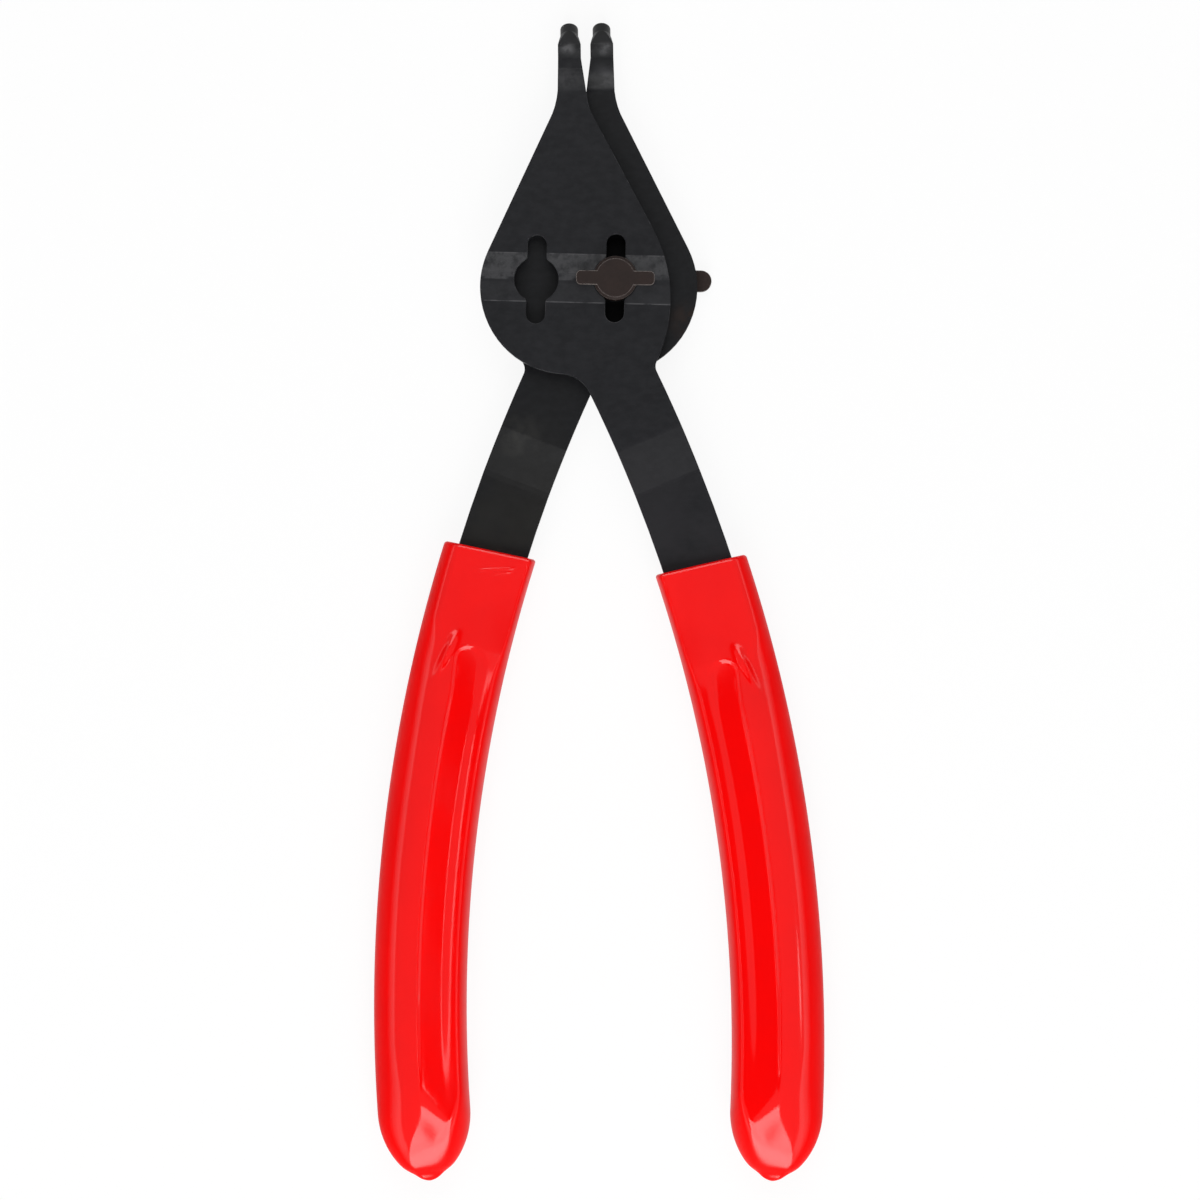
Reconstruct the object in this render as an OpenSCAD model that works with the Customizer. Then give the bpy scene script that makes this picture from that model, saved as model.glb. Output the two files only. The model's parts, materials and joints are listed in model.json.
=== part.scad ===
// Retaining-ring pliers: two crossing steel plates on a quick-release pivot stud, with dipped grips.
// The front plate carries the left jaw and the right handle, and the rear plate is its mirror image.
// Sizes are measured from the height of the pivot and from the mirror line between the two handles.

/* [Overall] */
// From the pivot's height to the ends of the jaw tips
jaw_reach = 39; // [36:0.5:44]
// From the pivot's height to the end of the front grip
handle_reach = 136.6; // [125:0.2:150]
// How much sooner the rear grip ends
rear_short = 0.8; // [0:0.1:2]

/* [Plates] */
// Thickness of the plates
plate_t = 2.7; // [2.2:0.1:3]
// Running gap between the plates
plate_gap = 0.1; // [0.06:0.02:0.2]
// Radius of the round shoulder on the outer side of the head
lobe_r = 13.1; // [12:0.1:14]
// Distance of the shoulder's centre from the mirror line
lobe_x = 3.3; // [2.6:0.1:4]
// Drop of the shoulder's centre below the pivot
lobe_drop = 1.24; // [0.8:0.02:1.8]
// Radius of the flatter arc on the inner side of the head
bulge_r = 22.5; // [20:0.5:26]
// Reach of that arc across the mirror line
bulge_reach = 12.28; // [11.4:0.02:13]
// Drop of that arc's centre below the pivot
bulge_drop = 2.87; // [2:0.01:4]
// Slope of the head's outer side, in degrees from upright
taper_out = 25.9; // [24:0.1:28]
// Slope of the head's inner side, in degrees from upright
taper_in = 27.2; // [25:0.1:29]
// Fillet where the head's outer side meets the tip
root_fillet_out = 12; // [6:0.5:15]
// Fillet where the head's inner side meets the tip
root_fillet_in = 8; // [4:0.5:10]
// Fillet in the crotch below the head
crotch_fillet = 5.2; // [3:0.1:7]
// Fillet between the head's inner arc and the handle's outer edge
neck_fillet = 1.8; // [1:0.1:3]

/* [Jaw tips] */
// Distance of each tip's centre from the mirror line
tip_x = 2.45; // [2.3:0.05:3.2]
// Width of the tip strip at its bend
tip_w = 3.45; // [2.8:0.05:3.6]
// Lean of the strip's outer edge, in degrees
tip_lean_out = 1.4; // [0:0.1:3]
// Lean of the strip's inner edge, in degrees
tip_lean_in = 8; // [6:0.1:9]
// Length of the step that brings the tips level with each other
tip_step_l = 3.6; // [3.4:0.1:4.2]
// Inside radius of the step's bend next to the head
tip_step_head_r = 1.8; // [0.6:0.1:2]
// Inside radius of the step's bend next to the tip
tip_step_end_r = 0.4; // [0.2:0.1:0.8]
// Flat stretch of the strip between that step and the bend
tip_flat_l = 1.5; // [1.2:0.1:3]
// Downward bend of the tips, in degrees
tip_bend = 45; // [30:1:60]
// Inside radius of that bend
tip_bend_r = 0.4; // [0.4:0.1:1.2]
// Length over which the flat strip turns into the round pin
tip_blend_l = 3.1; // [2:0.1:3.2]
// Length of the round pin
tip_pin_l = 1.95; // [1.6:0.05:2]
// Radius of the round pin
tip_pin_r = 1.35; // [0.9:0.05:1.35]
// Chamfer on the pin's end
tip_chamfer = 0.2; // [0.1:0.05:0.4]

/* [Pivot] */
// Distance of the pivot from the mirror line
pivot_x = 4; // [3.4:0.1:4.4]
// Distance from the pivot to the spare keyhole
keyhole_pitch = 11.9; // [11:0.1:12.6]
// Radius of the stud's shank
stud_r = 3.3; // [2.8:0.05:3.6]
// Running clearance of the shank in both plates
stud_clear = 0.05; // [0.02:0.01:0.1]
// Width of the keyholes' slots
slot_w = 2.87; // [2.5:0.01:3.4]
// Length of the keyholes' slots from end to end
slot_l = 13.3; // [12.8:0.1:14]
// Rounding where the slots run into the keyholes' circles
slot_fillet = 0.7; // [0.3:0.1:1]
// Tilt of the keyholes and of the band, in degrees
keyhole_tilt = -2.2; // [-4:0.1:4]
// Width of the pressed band across the front plate
band_w = 7.26; // [6.4:0.02:8]
// Width of the flat land on the band's crest
band_land = 1.5; // [0.8:0.1:2.4]
// Height of the band
band_h = 0.45; // [0.25:0.05:0.6]
// Width of the stud's wings
wing_w = 2.1; // [1.7:0.05:2.4]
// Span of the stud's wings
wing_span = 11.8; // [10:0.1:12.4]
// Thickness of the stud's wings
wing_t = 1.2; // [0.8:0.05:1.3]
// Rounding of the corners of the wings
wing_corner = 0.7; // [0.3:0.05:0.9]
// Chamfer on the stud's head
head_chamfer = 0.4; // [0.2:0.05:0.6]
// Gap between the wings and the band's crest, and between stacked pieces
seat_gap = 0.02; // [0.01:0.01:0.05]
// Turn of the wings and the lever, in degrees
lock_tilt = -1.5; // [-4:0.1:4]

/* [Lever and washer] */
// Thickness of the spring washer's strip
washer_t = 0.3; // [0.2:0.05:0.35]
// Cup of the spring washer
washer_cup = 0.1; // [0.05:0.01:0.15]
// Outer radius of the spring washer
washer_r = 6; // [5:0.1:7]
// Thickness of the lever
lever_t = 1.4; // [1:0.05:1.4]
// Radius of the lever's hub
lever_hub_r = 5.4; // [4.8:0.1:6]
// Reach of the lever from the pivot
lever_reach = 14.6; // [13:0.1:17]
// Width of the lever's arm
lever_w = 3.25; // [2.6:0.05:4]
// Side of the square tenon that keys the lever to the stud
tenon_w = 4; // [3.4:0.1:4.4]
// Clearance of the tenon in the lever
tenon_clear = 0.03; // [0.01:0.01:0.06]
// Radius of the peened end of the tenon
peen_r = 2.95; // [2.6:0.05:3.1]
// Height of the peened end
peen_h = 0.22; // [0.15:0.01:0.25]

/* [Handles] */
// Radius of the handles' bow
bow_r = 229; // [222:1:240]
// Distance of the bow's widest place from the mirror line
bow_x = 27; // [26:0.1:28]
// Drop of the bow's widest place below the pivot
bow_drop = 112.6; // [110:0.2:116]
// Width of the handle strip
strip_w = 10.5; // [9.5:0.1:10.8]
// Shift of the strip towards the mirror line inside its grip
strip_shift = 0.45; // [0:0.05:0.6]
// Drop of the step that brings the handles level, below the pivot
handle_step_drop = 27.5; // [26:0.5:33]
// Length of that step
handle_step_l = 8; // [6:0.1:9]
// Inside radius of that step's bend next to the head
handle_step_head_r = 0.6; // [0.4:0.1:3]
// Inside radius of that step's bend next to the grip
handle_step_end_r = 3; // [0.6:0.1:4]
// Distance from the strip's end to the front grip's end
strip_end_gap = 9.4; // [8.4:0.2:14]

/* [Grips] */
// Drop of the front grip's mouth below the pivot
front_mouth_drop = 43.3; // [40:0.1:50]
// Drop of the rear grip's mouth below the pivot
rear_mouth_drop = 40.7; // [40:0.1:50]
// Width of the grips
grip_w = 14.05; // [13.4:0.05:16]
// Thickness of the grips along their body
grip_h = 10; // [9.8:0.1:12]
// Thickness of the grips at the mouth
mouth_h = 6.6; // [5.6:0.1:8]
// Skew of the mouth's cut, in degrees
mouth_skew = 5.5; // [0:0.5:8]
// Rounding of the mouth's rim
rim_r = 0.5; // [0.2:0.05:0.8]
// Outward tilt of the front at the mouth, in degrees
mouth_tilt = 4.9; // [0:0.1:7]
// Rounding of the front's inner edge at the mouth
mouth_edge_in = 1; // [0.6:0.1:2]
// Rounding of the front's outer edge at the mouth
mouth_edge_out = 2.6; // [1:0.1:4]
// Rounding of the front's inner edge along the body
body_edge_in = 1.7; // [1:0.1:3]
// Rounding of the front's outer edge along the body
body_edge_out = 7.5; // [5:0.1:8]
// Distance from the mouth to the start of the swell
swell_start = 11; // [9:0.5:20]
// Length over which the outer half swells
swell_l = 8.5; // [8:0.5:20]
// Depth of the trough along the front of each grip
trough_d = 0.3; // [0.1:0.05:0.6]
// Half width of the trough
trough_w = 2.65; // [2:0.05:3]
// Shift of the trough towards the mirror line
trough_shift = 2.35; // [1.5:0.05:3]
// Distance from the mouth to the start of the trough
trough_start = 14.5; // [12:0.5:24]
// Distance from the trough's end to the grip's end
trough_end_gap = 11; // [9:0.5:20]
// Length of the rounded end
dome_l = 10.6; // [8.5:0.1:13]
// Clearance of the strip in its grip
grip_clear = 0.06; // [0.05:0.01:0.15]

/* [Hidden] */
$fn = 64;
arc_fn = 720;
far = 100;
// Share by which a fillet's circle is larger, so that it crosses the edges that it runs into
fillet_lap = 0.002;
// The same for the bends of the steps, which turn less
bend_lap = 0.0002;
// Share of the room in a step that its bends may take
bend_room = 0.98;
steel = "#2a2c30";
browned = "#3a3130";
vinyl = "#e80a0a";

// Levels above the plane midway between the plates
plate_z = plate_gap / 2;
plate_top = plate_z + plate_t;
crest_z = plate_top + band_h;
step_drop = plate_z + plate_t / 2;
wing_z = crest_z + seat_gap;
head_z = wing_z + wing_t;
washer_z = plate_top + seat_gap;
lever_z = washer_z + washer_t + washer_cup + seat_gap;
lever_back = lever_z + lever_t;
tall = head_z + plate_t;

// Head of a plate, seen from the front, with the jaw at the left and the handle at the right
lobe_at = [-lobe_x, -lobe_drop];
bulge_at = [bulge_reach - bulge_r, -bulge_drop];
out_up = [sin(taper_out), cos(taper_out)];
in_up = [-sin(taper_in), cos(taper_in)];
out_touch = lobe_at + lobe_r * [-out_up.y, out_up.x];
in_touch = bulge_at + bulge_r * [in_up.y, -in_up.x];

// Jaw tip: the bend's place follows from the reach
bend_mid_r = tip_bend_r + plate_t / 2;
pin_run = tip_blend_l + tip_pin_l - tip_chamfer;
bend_y = jaw_reach - bend_mid_r * sin(tip_bend) - pin_run * cos(tip_bend) - tip_pin_r * sin(tip_bend);
tip_drop = plate_t / 2 + tip_bend_r + (pin_run - bend_mid_r) * sin(tip_bend) + tip_pin_r * cos(tip_bend);
tip_out = [-tip_x - tip_w / 2, bend_y];
tip_in = [-tip_x + tip_w / 2, bend_y];
tip_out_up = [sin(tip_lean_out), cos(tip_lean_out)];
tip_in_up = [-sin(tip_lean_in), cos(tip_lean_in)];
root_out = crossing(out_touch, out_up, tip_out, tip_out_up);
root_in = crossing(in_touch, in_up, tip_in, tip_in_up);
step_end_y = bend_y - tip_flat_l;
step_start_y = step_end_y - tip_step_l;
// Thin shoulder all round where the bend ends and the blend starts
blend_inset = 0.02;

// Frame: the box's middle lies over the origin, and the lowest piece touches z = 0
shift_y = (handle_reach - jaw_reach) / 2;
shift_z = max(grip_h / 2, lever_back + peen_h, tip_drop);

// Handle: a ring sector about the bow's centre
bow_at = [bow_x - bow_r, -bow_drop];
strip_mid_r = bow_r - strip_shift;
strip_in_r = strip_mid_r - strip_w / 2;
strip_out_r = strip_mid_r + strip_w / 2;
neck_meet = meeting(bulge_at, bulge_r, bow_at, strip_out_r);
strip_start_turn = asin((bow_drop - lobe_drop - lobe_r / 2) / strip_mid_r);
strip_end_turn = bow_turn(handle_reach) + turn_of(strip_end_gap);
handle_step_turn = asin((bow_drop - handle_step_drop) / strip_mid_r);
// One slice shapes the head and another the handle, and they overlap on the plain strip between them
step_slant = strip_w / 2 * sin(handle_step_turn);
slice_lap = 1.2;
split_y = handle_step_l / 2 * cos(handle_step_turn) - handle_step_drop + step_slant + slice_lap;
split_run = (split_y + slice_lap + step_slant + handle_step_drop) / cos(handle_step_turn);

// Grip: rings of points along the bow, with more of them at the mouth and on the dome
ring_n = 52;
body_n = 24;
dome_n = 14;
cavity_n = 14;
dome_power = 0.62;
dome_tip = 0.004;
dome_crowding = 1.7;
rim_n = 3;
mouth_power = 5;
body_power = 2.7;
skew_fade = 12;
// Neck and nipple that the dip leaves at the end
neck_at = 1.1;
neck_l = 0.7;
neck_share = 0.05;
// The inner half swells slowly, and the outer half from a round nose that drifts outwards
slow_swell_start = 4;
slow_swell_l = 18;
nose_u = 0.66;
nose_drift = 0.24;
nose_curve = 0.35;
nose_lag = 3;
halves_u = -2.5;
halves_run = 3;
// Share of the trough's half width that is floor, towards the inner and the outer side
floor_in = 0.32;
floor_out = 0.85;

function turn_of(length) = length / bow_r * 180 / PI;
function arc_of(turn) = turn * PI / 180 * bow_r;
// Place along the bow's middle line at a drop below the pivot
function bow_turn(drop) = asin((bow_drop - drop) / bow_r);
function smooth(t) = let (c = min(1, max(0, t))) c * c * (3 - 2 * c);
function between(a, b, share) = a + (b - a) * share;
// Height of a quarter ellipse, from 0 at an edge to 1 at a radius from it
function quarter(distance, radius) = let (t = min(1, max(0, distance / radius))) sqrt(1 - pow(1 - t, 2));

// Where two lines cross, each given by a point and a direction
function crossing(p, d, q, e) = p + d * ((q - p).x * e.y - (q - p).y * e.x) / (d.x * e.y - d.y * e.x);

// Where two circles meet, at the point to the left of the way from the first centre to the second
function meeting(c1, r1, c2, r2) =
    let (gap = norm(c2 - c1))
    let (along = (r1 * r1 - r2 * r2 + gap * gap) / (2 * gap))
    let (across = sqrt(max(0, r1 * r1 - along * along)))
    let (e = (c2 - c1) / gap)
    c1 + along * e + across * [-e.y, e.x];

// Inside radii of a step's two bends, made smaller together where the step is too short for them
function fitting(run, radii) =
    let (room = (run * run + step_drop * step_drop) / (2 * step_drop) - plate_t)
    radii * min(1, bend_room * room / (radii[0] + radii[1]));

// Corners of a step that goes down to the middle plane: under and over its ends, in the order of an outline.
// The radii are those inside its bends, first next to the head.
function step_corners(way, start, run, radii) =
    let (bends = radii[0] + radii[1] + plate_t)
    let (straight = sqrt(run * run + step_drop * step_drop - 2 * bends * step_drop))
    let (turn = atan2(step_drop - bends, run) + atan2(bends, straight))
    let (reach = way * tan(turn / 2), end = start + way * run)
    [
        [start + radii[0] * reach, plate_z],
        [end - (radii[1] + plate_t) * reach, -plate_t / 2],
        [end - radii[1] * reach, plate_t / 2],
        [start + (radii[0] + plate_t) * reach, plate_top],
    ];

// Piece between a corner and its rounding, from one touching point round a circle to the other
module web(touch_a, centre, touch_b, beyond, r, lap = fillet_lap) {
    difference() {
        polygon([touch_a, centre, touch_b, beyond]);
        translate(centre) circle(r * (1 + lap));
    }
}

// Rounding of the corner between two straight edges that leave it along a and b, to be added or cut away
module corner_fillet(corner, a, b, r, lap = fillet_lap) {
    half = acos(a * b) / 2;
    middle = (a + b) / norm(a + b);
    run = r / tan(half);
    web(corner + run * a, corner + middle * r / sin(half), corner + run * b, corner - middle, r, lap);
}

module tip_outline() {
    polygon([root_out, tip_out, tip_in, root_in]);
    corner_fillet(root_out, tip_out_up, -out_up, root_fillet_out);
    corner_fillet(root_in, tip_in_up, -in_up, root_fillet_in);
}

module head_outline() {
    translate(lobe_at) circle(lobe_r, $fn = 180);
    polygon([out_touch, root_out, root_in, in_touch, lobe_at]);
    intersection() {
        translate(bulge_at) circle(bulge_r, $fn = 240);
        translate([lobe_at.x, neck_meet.y]) square([far, in_touch.y - neck_meet.y]);
    }
}

module strip_outline(turn_a, turn_b) {
    reach = 2 * bow_r;
    translate(bow_at) intersection() {
        difference() {
            circle(strip_out_r, $fn = arc_fn);
            circle(strip_in_r, $fn = arc_fn);
        }
        polygon([[0, 0], reach * [cos(turn_a), sin(turn_a)], reach * [cos(turn_b), sin(turn_b)]]);
    }
}

// Round corner between the shoulder and the handle's inner edge
module crotch_outline() {
    centre = meeting(lobe_at, lobe_r + crotch_fillet, bow_at, strip_in_r - crotch_fillet);
    on_lobe = lobe_at + (centre - lobe_at) * lobe_r / (lobe_r + crotch_fillet);
    on_strip = bow_at + (centre - bow_at) * strip_in_r / (strip_in_r - crotch_fillet);
    web(on_lobe, centre, on_strip, [pivot_x, neck_meet.y], crotch_fillet);
}

// Round corner between the head's inner arc and the handle's outer edge
module neck_outline() {
    centre = meeting(bulge_at, bulge_r + neck_fillet, bow_at, strip_out_r + neck_fillet);
    on_bulge = bulge_at + (centre - bulge_at) * bulge_r / (bulge_r + neck_fillet);
    on_strip = bow_at + (centre - bow_at) * strip_out_r / (strip_out_r + neck_fillet);
    web(on_bulge, centre, on_strip, [pivot_x, neck_meet.y], neck_fillet);
}

module plate_outline() {
    tip_outline();
    head_outline();
    strip_outline(strip_start_turn, strip_end_turn);
    crotch_outline();
    neck_outline();
}

// Sweeps a side profile, drawn in the YZ plane, along X
module side_sweep(from_x, to_x) {
    translate([from_x, 0, 0]) rotate([90, 0, 90]) linear_extrude(to_x - from_x) children();
}

// Side view of a plate: flat from the split line on, stepped to the middle plane, and flat again.
// It runs towards +Y or -Y, by the sign of way, and is open below before the split line.
// On top it goes back from the step at the plate's level, or along the slope until it clears the plate.
module plate_profile(way, split, corners, end, clears) {
    slope = (corners[3] - corners[2]) / (plate_top - plate_t / 2);
    back = clears ? corners[3] + slope * (tall - plate_top) : corners[3];
    polygon([
        [-2 * far * way, -tall],
        [split, -tall],
        [split, plate_z],
        corners[0],
        corners[1],
        [end, -plate_t / 2],
        [end, plate_t / 2],
        corners[2],
        back,
        [-2 * far * way, back.y],
    ]);
}

// Rounding of a step's two hollow corners, to be added, or of its two outer corners, to be cut away
module step_bends(way, corners, radii, added) {
    ahead = [way, 0];
    down = (corners[1] - corners[0]) / norm(corners[1] - corners[0]);
    outer = added ? 0 : plate_t;
    corner_fillet(corners[added ? 0 : 3], -ahead, down, radii[0] + outer, bend_lap);
    corner_fillet(corners[added ? 2 : 1], ahead, -down, radii[1] + outer, bend_lap);
}

// Side view of the head and the tip
module across_tip() {
    side_sweep(-far, far) children();
}

// Side view of the handle, square to the bow at the step
module across_handle() {
    translate(bow_at) rotate(handle_step_turn) side_sweep(bow_r - far, bow_r + far) children();
}

// Bent end of a jaw: an elbow, a blend from flat to round, and the round pin
module tip_end() {
    drop = plate_t / 2 + tip_bend_r;
    blend_r = norm([tip_w / 2, plate_t / 2]);
    blend_x = tip_w / 2 - blend_inset;
    translate([-tip_x, bend_y, -drop]) {
        rotate([0, -90, 0]) rotate_extrude(angle = tip_bend)
            translate([tip_bend_r, -tip_w / 2]) square([plate_t, tip_w]);
        rotate([-tip_bend, 0, 0]) translate([0, 0, bend_mid_r]) {
            intersection() {
                linear_extrude(plate_t - 2 * blend_inset, center = true) polygon([
                    [-blend_x, 0],
                    [blend_x, 0],
                    [tip_pin_r, tip_blend_l],
                    [-tip_pin_r, tip_blend_l],
                ]);
                rotate([-90, 0, 0]) cylinder(h = tip_blend_l, r1 = blend_r, r2 = tip_pin_r);
            }
            translate([0, tip_blend_l, 0]) rotate([-90, 0, 0]) {
                cylinder(h = tip_pin_l - tip_chamfer, r = tip_pin_r);
                translate([0, 0, tip_pin_l - tip_chamfer])
                    cylinder(h = tip_chamfer, r1 = tip_pin_r, r2 = tip_pin_r - tip_chamfer);
            }
        }
    }
}

// One stamping before its holes; the tip bends down, or up on the plate that is turned over
module plate_blank(bend_up) {
    tip_radii = fitting(tip_step_l, [tip_step_head_r, tip_step_end_r]);
    handle_radii = fitting(handle_step_l, [handle_step_head_r, handle_step_end_r]);
    tip_corners = step_corners(1, step_start_y, tip_step_l, tip_radii);
    handle_corners = step_corners(-1, handle_step_l / 2, handle_step_l, handle_radii);
    difference() {
        intersection() {
            translate([0, 0, -tall]) linear_extrude(2 * tall) plate_outline();
            union() {
                intersection() {
                    across_tip() plate_profile(1, split_y, tip_corners, bend_y, false);
                    across_handle() plate_profile(-1, split_run, handle_corners, -2 * far, true);
                }
                across_tip() step_bends(1, tip_corners, tip_radii, true);
                across_handle() step_bends(-1, handle_corners, handle_radii, true);
            }
        }
        across_tip() step_bends(1, tip_corners, tip_radii, false);
        across_handle() step_bends(-1, handle_corners, handle_radii, false);
    }
    mirror([0, 0, bend_up ? 1 : 0]) tip_end();
}

// Section of the band, with its crest h above the given level
module band_bar(level, h) {
    side_sweep(-far, far) polygon([
        [-band_w / 2, level],
        [band_w / 2, level],
        [band_land / 2, level + h],
        [-band_land / 2, level + h],
    ]);
}

module keyhole_outline() {
    hole_r = stud_r + stud_clear;
    circle(hole_r);
    square([slot_w, slot_l - slot_w], center = true);
    for (end = [-1, 1]) translate([0, end * (slot_l - slot_w) / 2]) circle(slot_w / 2);
    fillet_x = slot_w / 2 + slot_fillet;
    fillet_y = sqrt(pow(hole_r + slot_fillet, 2) - fillet_x * fillet_x);
    on_circle = [fillet_x, fillet_y] * hole_r / (hole_r + slot_fillet);
    for (side = [0, 1], end = [0, 1]) mirror([side, 0]) mirror([0, end])
        web([slot_w / 2, fillet_y], [fillet_x, fillet_y], on_circle, [0, 0], slot_fillet);
}

module front_plate_shape() {
    difference() {
        union() {
            plate_blank(false);
            intersection() {
                linear_extrude(tall) head_outline();
                rotate(keyhole_tilt) band_bar(plate_top, band_h);
            }
        }
        rotate(keyhole_tilt) band_bar(plate_z, band_h);
        for (x = [pivot_x, pivot_x - keyhole_pitch]) translate([x, 0, -tall]) rotate(keyhole_tilt)
            linear_extrude(2 * tall) keyhole_outline();
    }
}

module rear_plate_shape() {
    rotate([0, 180, 0]) difference() {
        plate_blank(true);
        translate([-pivot_x, 0, -tall]) cylinder(h = 2 * tall, r = stud_r + stud_clear);
    }
}

// Point beside the bow: s runs down from the mouth, u outwards from the middle, z up
function beside_bow(mouth_turn, s, u, z) =
    let (skew = u * tan(mouth_skew) * (1 - smooth(s / skew_fade)))
    let (turn = mouth_turn - turn_of(s + skew))
    [bow_at.x + (bow_r + u) * cos(turn), bow_at.y + (bow_r + u) * sin(turn), z];

// Share of the full section that is left at a distance from the grip's end
function dome_share(from_end) =
    let (closing = max(0, 1 - from_end / dome_l))
    pow(1 - closing * closing, dome_power) - neck_share * exp(-pow((from_end - neck_at) / neck_l, 2));

// Inset of the rounded rim at the mouth
function rim_inset(s) = s >= rim_r ? 0 : rim_r - sqrt(rim_r * rim_r - pow(rim_r - s, 2));

// Half thickness of a grip's front before its edges are rounded
function front_h(s, u) =
    let (lag = min(nose_lag, nose_curve * pow(u - nose_u - nose_drift * (s - swell_start), 2)))
    let (outer = smooth((s - swell_start - lag) / swell_l))
    let (inner = smooth((s - slow_swell_start) / slow_swell_l))
    let (swell = between(inner, outer, smooth((u - halves_u) / halves_run)))
    between(mouth_h / 2 - u * tan(mouth_tilt), grip_h / 2, swell);

// Depth of the trough: a long hollow with round ends, steep on its outer side
function trough_dip(s, u, length) =
    let (start = trough_start + trough_w, end = length - trough_end_gap - trough_w)
    let (off = [max(0, start - s, s - end), u + trough_shift])
    let (floor_share = between(floor_in, floor_out, smooth((1 + off.y / max(norm(off), rim_r)) / 2)))
    trough_d * smooth((1 - norm(off) / trough_w) / (1 - floor_share));

// Outer ring of a grip: crisp inner edge, round outer flank and shallow trough in front, full round back
function grip_ring(mouth_turn, s, length) =
    let (share = dome_share(length - s), inset = rim_inset(s))
    let (swell = smooth((s - swell_start) / swell_l))
    let (half_w = grip_w / 2 * share - inset)
    let (back_h = between(mouth_h, grip_h, swell) / 2 * share - inset)
    let (edge_in = between(mouth_edge_in, body_edge_in, swell) * share)
    let (edge_out = between(mouth_edge_out, body_edge_out, swell) * share)
    let (power = between(mouth_power, body_power, swell))
    [for (k = [0 : ring_n - 1])
        let (a = 360 * k / ring_n, u = half_w * cos(a))
        let (rounding = quarter(half_w + u, edge_in) * quarter(half_w - u, edge_out))
        let (front = (front_h(s, u) * share - inset) * rounding - trough_dip(s, u, length))
        let (back = -back_h * pow(1 - pow(abs(cos(a)), power), 1 / power))
        beside_bow(mouth_turn, s, u, sin(a) < 0 ? back : front)];

// Ring of the cavity, which follows the strip with its clearance
function cavity_ring(mouth_turn, s) =
    [for (k = [0 : ring_n - 1])
        let (a = 360 * k / ring_n)
        let (reach = max(abs(cos(a)), abs(sin(a))))
        let (u = (strip_w / 2 + grip_clear) * cos(a) / reach - strip_shift)
        beside_bow(mouth_turn, s, u, (plate_t / 2 + grip_clear) * sin(a) / reach)];

// Two triangles for each side between ring i and ring j
function ring_faces(i, j) = [
    for (k = [0 : ring_n - 1])
        let (a = i * ring_n + k, b = i * ring_n + (k + 1) % ring_n)
        let (c = j * ring_n + (k + 1) % ring_n, d = j * ring_n + k)
        each [[a, d, c], [a, c, b]]
];

// Triangles that close ring i with the point numbered apex; the order is turned round at the grip's end
function cap_faces(i, apex, turned) = [
    for (k = [0 : ring_n - 1])
        let (a = i * ring_n + k, b = i * ring_n + (k + 1) % ring_n)
        turned ? [b, a, apex] : [a, b, apex]
];

// A dipped grip: one closed skin outside, round the mouth's rim and down into the cavity
module grip_shape(mouth_drop, end_drop) {
    mouth_turn = bow_turn(mouth_drop);
    length = arc_of(mouth_turn - bow_turn(end_drop));
    body_l = length - dome_l;
    depth = arc_of(mouth_turn - strip_end_turn) + grip_clear;
    rim_stops = [for (q = [0 : rim_n]) rim_r * (1 - cos(90 * q / rim_n))];
    body_stops = [for (q = [1 : body_n]) rim_r + (body_l - rim_r) * q / body_n];
    dome_stops = [for (q = [1 : dome_n]) length - dome_l * max(dome_tip, pow(1 - q / dome_n, dome_crowding))];
    stops = concat(rim_stops, body_stops, dome_stops);
    outer = [for (s = stops) each grip_ring(mouth_turn, s, length)];
    inner = [for (q = [0 : cavity_n]) each cavity_ring(mouth_turn, depth * (1 - q / cavity_n))];
    last = len(stops) - 1;
    rings = len(stops) + cavity_n + 1;
    faces = concat(
        [for (i = [0 : last - 1]) each ring_faces(i, i + 1)],
        [for (i = [last + 1 : rings - 2]) each ring_faces(i, i + 1)],
        ring_faces(rings - 1, 0),
        cap_faces(last, rings * ring_n, true),
        cap_faces(last + 1, rings * ring_n + 1, false)
    );
    ends = [beside_bow(mouth_turn, length, 0, 0), beside_bow(mouth_turn, depth, -strip_shift, 0)];
    polyhedron(concat(outer, inner, ends), faces);
}

module wing_outline() {
    straight = wing_span - 2 * wing_corner;
    square([straight, wing_w], center = true);
    square([wing_span, wing_w - 2 * wing_corner], center = true);
    for (x = [-1, 1], y = [-1, 1])
        translate([x * straight / 2, y * (wing_w / 2 - wing_corner)]) circle(wing_corner);
}

// Everything that turns with the stud is drawn about the pivot's axis
module at_pivot() {
    translate([pivot_x, 0, 0]) rotate(lock_tilt) children();
}

module pivot_stud_shape() {
    at_pivot() {
        translate([0, 0, -washer_z]) cylinder(h = washer_z + head_z - head_chamfer, r = stud_r);
        translate([0, 0, head_z - head_chamfer])
            cylinder(h = head_chamfer, r1 = stud_r, r2 = stud_r - head_chamfer);
        translate([0, 0, wing_z]) linear_extrude(wing_t) wing_outline();
        translate([0, 0, -lever_z]) cylinder(h = lever_z - washer_z, r = stud_r);
        translate([0, 0, -lever_back]) linear_extrude(lever_t) square(tenon_w, center = true);
        translate([0, 0, -lever_back - peen_h]) cylinder(h = peen_h, r1 = peen_r - peen_h, r2 = peen_r);
    }
}

module spring_washer_shape() {
    hole_r = stud_r + stud_clear;
    at_pivot() mirror([0, 0, 1]) translate([0, 0, washer_z]) rotate_extrude() polygon([
        [hole_r, 0],
        [washer_r, washer_cup],
        [washer_r, washer_cup + washer_t],
        [hole_r, washer_t],
    ]);
}

module lever_outline() {
    end_x = lever_reach - lever_w / 2;
    circle(lever_hub_r);
    translate([0, -lever_w / 2]) square([end_x, lever_w]);
    translate([end_x, 0]) circle(lever_w / 2);
}

module lock_lever_shape() {
    at_pivot() translate([0, 0, -lever_back + seat_gap / 2]) linear_extrude(lever_t - seat_gap) difference() {
        lever_outline();
        square(tenon_w + 2 * tenon_clear, center = true);
    }
}

// Moves a piece from the pivot's frame to the part's frame
module placed() {
    translate([0, shift_y, shift_z]) children();
}

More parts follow.
